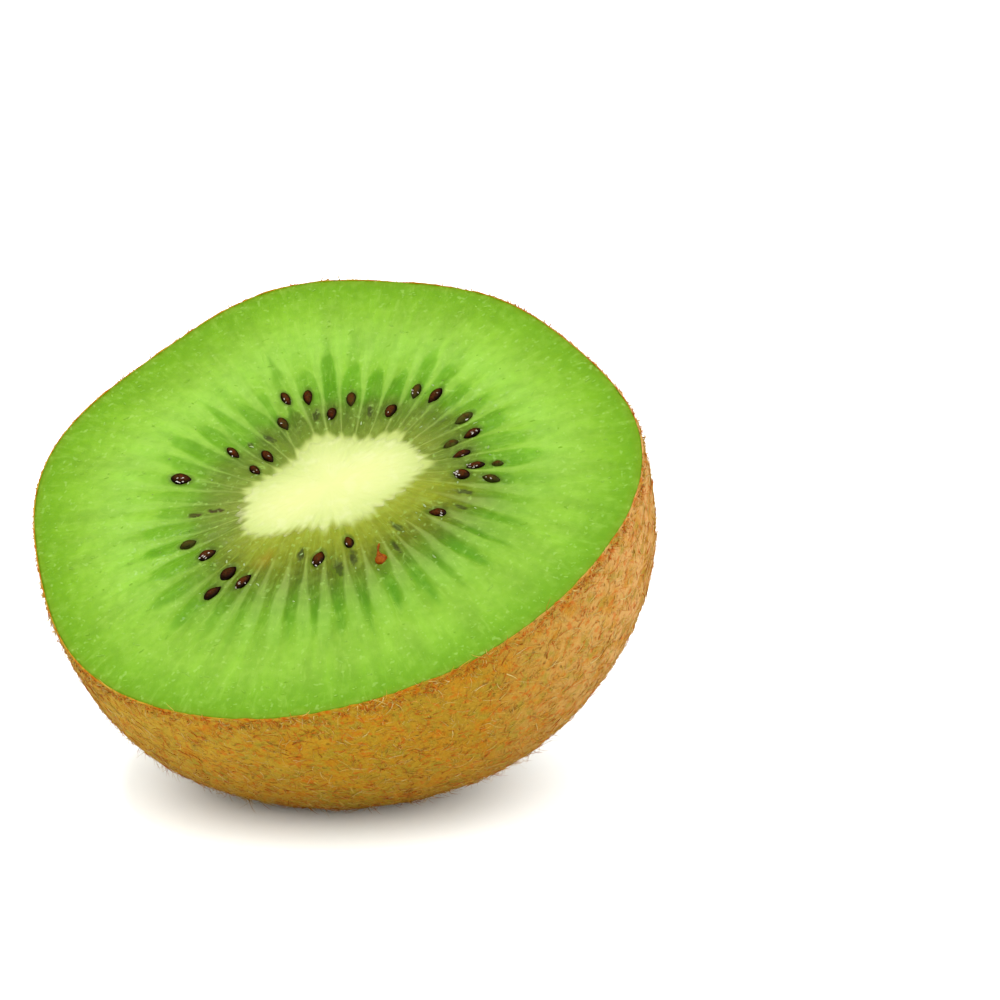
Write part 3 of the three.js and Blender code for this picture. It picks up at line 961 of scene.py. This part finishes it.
def make_fuzz(name, count, draw, lengths, lift, foot, spread, far):
    """Tapering hairs as one mesh: each leaves the skin at a lift, leans over and waves.

    A hair is three rings of three corners and a tip. Its way over the skin follows slow noise
    plus its own draw. Hairs that would start under the resting spot are left out.
    """
    random = np.random.default_rng(draw)
    angle, run = skin_places(count, random, far)
    root = skin_point(angle, run)
    kept = tipped(root)[:, 2] > 0.05
    angle, run, root = angle[kept], run[kept], root[kept]
    count = len(root)
    normal = side_normal(angle, run)
    around = np.stack((-np.sin(angle), np.cos(angle), 0 * angle), -1)
    around -= normal * (around * normal).sum(-1, keepdims=True)
    around /= np.linalg.norm(around, axis=-1, keepdims=True)
    down = np.cross(normal, around)
    way = 1.6 * noise(angle, run, 26, 10, draw + 1) + random.normal(0, spread, count)
    forward = around * np.cos(way)[:, None] + down * np.sin(way)[:, None]
    beside = np.cross(normal, forward)
    length = random.uniform(*lengths, count) * random.uniform(0.6, 1, count)
    rise = np.clip(random.normal(lift, 0.5 * lift, count), 0.03, 1.3)
    curl = random.uniform(-0.8, 0.8, count)
    at = np.append(HAIR_RINGS, 1.0)[:, None]
    ahead = np.cos(rise) * at * length
    above = np.sin(rise) * (at - 0.35 * at ** 2) * length
    aside = curl * at ** 2 * length
    path = root + (
        forward * ahead[..., None] + normal * above[..., None] + beside * aside[..., None]
    )
    radius = foot * random.uniform(0.6, 1.2, count) * (1 - 0.75 * HAIR_RINGS[:, None])
    turn = np.arange(HAIR_SIDES)[:, None] / HAIR_SIDES * ROUND
    ring = beside[None, :, None] * np.cos(turn) + normal[None, :, None] * np.sin(turn)
    corners = path[:-1, :, None] + ring * radius[..., None, None]
    corners = corners.transpose(1, 0, 2, 3).reshape(count, -1, 3)
    hairs = np.concatenate((corners, path[-1][:, None]), 1)
    return new_heap(name, tipped(hairs, 0.03), hair_faces(), tint=random.random(count))


# ---- Materials ----

class Finish:
    """A new material with a principled shader, and short ways to add nodes to it."""

    def __init__(self, name, **sockets):
        self.material = bpy.data.materials.new(name)
        self.material.use_nodes = True
        self.tree = self.material.node_tree
        self.shader = self.tree.nodes["Principled BSDF"]
        for title, value in sockets.items():
            self.shader.inputs[title.replace("_", " ")].default_value = value

    def node(self, kind, settings=(), **inputs):
        """A node of a kind with its settings made and its inputs set or linked."""
        made = self.tree.nodes.new("ShaderNode" + kind)
        for title, value in dict(settings).items():
            setattr(made, title, value)
        for title, value in inputs.items():
            self.feed(made.inputs[title.replace("_", " ")], value)
        return made

    def feed(self, socket, value):
        """Links the socket to another node's output, or sets its value."""
        if isinstance(value, bpy.types.NodeSocket):
            self.tree.links.new(value, socket)
        else:
            socket.default_value = value

    def attribute(self, name, output="Fac"):
        return self.node("Attribute", {"attribute_name": name}).outputs[output]

    def place(self):
        return self.node("TexCoord").outputs["Object"]

    def pattern(self, place, scale, detail=3.0, roughness=0.5):
        """Noise between 0 and 1 over a place."""
        made = self.node("TexNoise", Vector=place, Scale=scale, Detail=detail, Roughness=roughness)
        return made.outputs["Fac"]

    def noise(self, size, *kind):
        """A pattern whose features are about the size in millimetres across."""
        return self.pattern(self.place(), 1 / (size * MM), *kind)

    def fibres(self, scale, *kind):
        """A pattern over the grain, so that its streaks run out from the core."""
        return self.pattern(self.attribute("grain", "Vector"), scale, *kind)

    def spread(self, value, low, high, to_low=0.0, to_high=1.0):
        """The value's stretch from low to high, mapped onto another stretch and kept in it."""
        return self.node(
            "MapRange", {"clamp": True}, Value=value,
            From_Min=low, From_Max=high, To_Min=to_low, To_Max=to_high,
        ).outputs["Result"]

    def times(self, one, other):
        made = self.node("Math", {"operation": "MULTIPLY"})
        self.feed(made.inputs[0], one)
        self.feed(made.inputs[1], other)
        return made.outputs["Value"]

    def blend(self, amount, one, other):
        """Colours mixed by an amount, which may be a node's output or a number."""
        made = self.node("Mix", {"data_type": "RGBA"})
        self.feed(made.inputs["Factor"], amount)
        self.feed(made.inputs[6], one)
        self.feed(made.inputs[7], other)
        return made.outputs[2]

    def lay(self, colour, over, value, low, high, most=1.0):
        """A colour with another laid over it as a value goes from low to high, up to the most."""
        return self.blend(self.spread(value, low, high, 0.0, most), colour, over)

    def bump(self, height, distance, after=None):
        """A normal pushed by a height in millimetres, after another one if that is given."""
        made = self.node("Bump", Height=height, Distance=distance * MM)
        if after is not None:
            self.feed(made.inputs["Normal"], after)
        return made.outputs["Normal"]

    def wear(self, colour, roughness=None, normal=None):
        """Feeds the shader's colour, roughness and normal, and gives the material back."""
        for title, value in (("Base Color", colour), ("Roughness", roughness), ("Normal", normal)):
            if value is not None:
                self.feed(self.shader.inputs[title], value)
        return self.material


def rgba(*steps):
    return (*linear(*steps), 1.0)


def dry(*steps):
    """A colour of the dry skin and its hairs, which give back a little more of the light."""
    return (*(DRY_SHARE * linear(*steps)), 1.0)


def wet_flesh():
    """Wet green flesh: its laid-over colour, fibres drawn out from the core, pale flecks."""
    f = Finish(
        "wet_flesh", Coat_Weight=0.04, Coat_Roughness=0.12, IOR=1.38, Specular_IOR_Level=0.06,
        Subsurface_Weight=0.25, Subsurface_Scale=0.0007, Subsurface_Radius=(0.7, 1.0, 0.3),
    )
    fibres = f.fibres(2.2, 4.0, 0.6)
    cloud = f.noise(0.9)
    bare = f.attribute("flesh_colour", "Color")
    dark = f.blend(0.24, bare, rgba(100, 158, 10))
    light = f.blend(0.23, bare, rgba(192, 238, 100))
    colour = f.lay(bare, dark, fibres, 0.42, 0.28)
    colour = f.lay(colour, light, fibres, 0.55, 0.70)
    colour = f.lay(colour, light, cloud, 0.5, 0.68, 0.55)
    colour = f.lay(colour, dark, cloud, 0.5, 0.34, 0.6)
    colour = f.lay(colour, rgba(196, 240, 124), f.noise(0.5, 1.0), 0.64, 0.74, 0.3)
    colour = f.blend(f.attribute("cream"), colour, bare)
    roughness = f.spread(f.noise(0.5), 0.3, 0.7, 0.3, 0.55)
    return f.wear(colour, roughness, f.bump(fibres, 0.03, f.bump(f.noise(0.3), 0.02)))


def pale_core():
    """Moist cream core with faint fibres that run out to its edge."""
    f = Finish(
        "pale_core", Coat_Weight=0.03, Coat_Roughness=0.2, IOR=1.38, Specular_IOR_Level=0.1,
        Subsurface_Weight=0.3, Subsurface_Scale=0.0008, Subsurface_Radius=(1.0, 0.95, 0.5),
    )
    colour = f.attribute("flesh_colour", "Color")
    colour = f.lay(colour, rgba(238, 246, 158), f.fibres(1.6, 3.0), 0.4, 0.65, 0.25)
    colour = f.lay(colour, rgba(254, 255, 196), f.noise(1.2), 0.5, 0.7, 0.35)
    roughness = f.spread(f.noise(0.4), 0.3, 0.7, 0.4, 0.6)
    return f.wear(colour, roughness, f.bump(f.noise(0.35), 0.02))


def fuzzy_skin():
    """Dry brown skin: olive and tan patches, painted sheen on one side, rusty specks, a felt of grain."""
    f = Finish("fuzzy_skin", Specular_IOR_Level=0.03)
    across = f.node("SeparateXYZ", Vector=f.place()).outputs["X"]
    run = f.attribute("run")
    golden = f.noise(1.8)
    specks = f.noise(0.6, 2.0)
    felt = f.noise(0.25, 4.0, 0.7)
    colour = dry(206, 150, 28)
    for tone, value, low, high, most in (
        ((188, 154, 34), f.noise(4.5), 0.38, 0.62, 1.0),
        # These three rows on across: paler towards +x, a painted sheen where the right lamp lights it;
        # lighter gold towards -x.
        ((184, 134, 40), across, 0.004, 0.014, 0.5),
        ((240, 182, 108), across, 0.014, 0.027, 0.95),
        ((228, 180, 58), across, 0.001, -0.018, 0.8),
        ((210, 138, 12), golden, 0.48, 0.66, 0.7),
        ((168, 150, 40), f.noise(1.3), 0.52, 0.68, 0.7),
        ((218, 104, 16), specks, 0.56, 0.66, 0.65),
        ((112, 72, 12), f.noise(0.5, 1.0), 0.36, 0.28, 0.6),
        ((150, 98, 18), felt, 0.45, 0.28, 0.4),
        ((236, 190, 76), felt, 0.52, 0.72, 0.5),
    ):
        colour = f.lay(colour, dry(*tone), value, low, high, most)
    rim = f.times(f.spread(run, 0.045, 0.006), f.spread(specks, 0.48, 0.60, 0.0, 0.7))
    colour = f.blend(rim, colour, dry(204, 104, 10))
    colour = f.lay(colour, dry(84, 54, 28), run, 0.955, 0.985)
    return f.wear(colour, 0.75, f.bump(golden, 0.12, f.bump(felt, 0.10)))


def hair_finish():
    """Dry plant hairs from rust through golden tan to straw."""
    f = Finish("dry_hairs", Roughness=0.6, Specular_IOR_Level=0.05)
    tones = f.node("ValToRGB", Fac=f.attribute("tint"))
    stops = (
        (0.0, dry(196, 92, 14)), (0.26, dry(228, 112, 20)), (0.36, dry(220, 158, 46)),
        (0.75, dry(234, 184, 70)), (1.0, dry(250, 220, 140)),
    )
    elements = tones.color_ramp.elements
    while len(elements) < len(stops):
        elements.new(0.5)
    for element, (at, colour) in zip(elements, stops):
        element.position = at
        element.color = colour
    colour = tones.outputs["Color"]
    return f.wear(f.lay(colour, dry(206, 144, 56), f.noise(0.4), 0.4, 0.7, 0.35))


def seed_finish():
    """Glossy seeds: a red-brown crown inside a near-black border, some under a green veil."""
    f = Finish("seed_gloss", Coat_Weight=0.04, Coat_Roughness=0.08, Specular_IOR_Level=0.0)
    grain = f.noise(0.18)
    brown = f.lay(rgba(78, 48, 8), rgba(96, 42, 8), f.noise(0.3), 0.4, 0.6)
    # The red-brown crown is partly painted light: a lighter top standing in for wet reflection.
    crown = f.times(f.attribute("crown"), f.spread(grain, 0.3, 0.6, 0.3, 1.0))
    veil = f.times(f.attribute("veil"), f.spread(f.noise(0.35, 2.0), 0.35, 0.6, 0.4, 1.3))
    colour = f.blend(crown, rgba(16, 4, 0), brown)
    return f.wear(f.blend(veil, colour, rgba(80, 88, 26)), 0.3, f.bump(grain, 0.02))


def orange_finish():
    """The unripe seed: dull orange with a fine grain."""
    f = Finish(
        "unripe_seed", Coat_Weight=0.06, Coat_Roughness=0.08, Roughness=0.45,
        Specular_IOR_Level=0.03,
    )
    grain = f.noise(0.3)
    colour = f.lay(rgba(138, 56, 0), rgba(176, 92, 0), grain, 0.35, 0.65)
    return f.wear(colour, normal=f.bump(grain, 0.02))


def bead_finish(name, first, second, gloss):
    """Small wet things in tints between two colours."""
    f = Finish(
        name, Coat_Weight=gloss, Coat_Roughness=0.05, Roughness=0.35, Specular_IOR_Level=gloss,
    )
    colour = f.blend(f.attribute("tint"), rgba(*first), rgba(*second))
    return f.wear(f.lay(colour, rgba(*first), f.noise(0.3), 0.4, 0.7, 0.3))


# ---- The pieces ----

def dress(piece, finish, slot, *nodes):
    """Gives a piece its material and body, and hides the nodes that it stands for. The slot is not used.
    """
    piece.data.materials.append(finish)
    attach(piece, "root")
    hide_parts(*nodes)


dress(make_flesh(), wet_flesh(), "flesh", "flesh")
dress(make_core(), pale_core(), "core", "core")
dress(make_skin(), fuzzy_skin(), "skin", "flesh")
dress(make_seeds(), seed_finish(), "seed", "flesh")
dress(make_orange_seed(), orange_finish(), "seed", "flesh")
dry_hairs = hair_finish()
for hair in HAIRS:
    dress(make_fuzz(*hair), dry_hairs, "skin", "flesh")

# Small wet things: their places, draw, lengths, widths, height and sway, then two colours and
# how glossy they are.
WET_THINGS = {
    "fibre_ends": (
        (scattered(420, 71, 0.5, 0.96), 71, (0.25, 0.8), (0.10, 0.18), 0.02, 0.5),
        ((140, 196, 52), (166, 218, 88), 0.0),
    ),
    "gel_specks": (
        (scattered(60, 72, 0.15, 0.5), 72, (0.2, 0.5), (0.12, 0.24), 0.02, 1.5),
        ((116, 152, 44), (142, 184, 72), 0.05),
    ),
    # wet_glints: painted highlights, pale beads with some real gloss.
    "wet_glints": (
        (glint_places(), 73, (0.3, 0.8), (0.10, 0.18), 0.05, 1.2),
        ((140, 178, 84), (196, 216, 150), 0.3),
    ),
}
for name, (shape, look) in WET_THINGS.items():
    dress(lay_beads(name, *shape), bead_finish(name, *look), "flesh", "flesh")
# seed_glints: painted highlights, beads coloured up to near white.
glint_look = bead_finish("seed_glints", (150, 134, 110), (250, 246, 236), 0.5)
dress(make_seed_glints(), glint_look, "seed", "flesh")


# ---- Floor, light and camera ----

FLOOR_HALF = 2.0
FLOOR_LEVEL = -2e-5
WORLD_STRENGTH = 0.72
# Each light's name, a point that it comes from, its strength, and the degrees of sky it fills.
LIGHTS = (
    ("overhead", (0.15, -0.55, 0.95), 4.45, 110),
    ("left", (-0.75, -0.10, 0.65), 1.22, 70),
    ("right", (0.90, -0.35, 0.25), 1.9, 90),
    ("spark", (-0.30, -0.20, 0.90), 0.42, 3),
)
CAMERA_PLACE = (0.01526, -0.37267, 0.12679)
CAMERA_TILT = 75
CAMERA_LENS = 153.8


def make_floor():
    """A pale flat floor, just below the resting spot."""
    mesh = bpy.data.meshes.new("floor")
    near, far = -FLOOR_HALF, FLOOR_HALF
    corners = [(near, near), (far, near), (far, far), (near, far)]
    mesh.from_pydata([(x, y, FLOOR_LEVEL) for x, y in corners], [], [(0, 1, 2, 3)])
    f = Finish("pale_floor", Roughness=0.6)
    colour = f.lay((0.92, 0.96, 0.95, 1), (0.94, 0.98, 0.97, 1), f.noise(60.0), 0.3, 0.7)
    mesh.materials.append(f.wear(colour))
    floor = linked("floor", mesh)


def add_light(name, source, strength, width):
    """Even soft light from the way of a point, seen from the middle of the scene."""
    lamp = bpy.data.lights.new(name, "SUN")
    lamp.angle = width * DEGREE
    lamp.energy = strength
    item = linked(name, lamp)
    x, y, z = source
    item.location = source
    item.rotation_euler = (math.atan2(math.hypot(x, y), z), 0, math.atan2(y, x) + math.pi / 2)


def set_world(strength):
    """Even white light from all round."""
    world = bpy.data.worlds.new("studio")
    world.use_nodes = True
    back = world.node_tree.nodes["Background"]
    back.inputs["Color"].default_value = (1, 1, 1, 1)
    back.inputs["Strength"].default_value = strength
    bpy.context.scene.world = world


def add_camera():
    lens = bpy.data.cameras.new("camera")
    lens.lens = CAMERA_LENS
    lens.sensor_width = 36
    lens.clip_start = 0.01
    lens.clip_end = 20
    camera = linked("camera", lens)
    camera.location = CAMERA_PLACE
    camera.rotation_euler = (CAMERA_TILT * DEGREE, 0, 0)
    bpy.context.scene.camera = camera


make_floor()
set_world(WORLD_STRENGTH)
for light in LIGHTS:
    add_light(*light)
add_camera()
bpy.context.scene.view_settings.view_transform = "Standard"
bpy.context.scene.view_settings.look = "None"
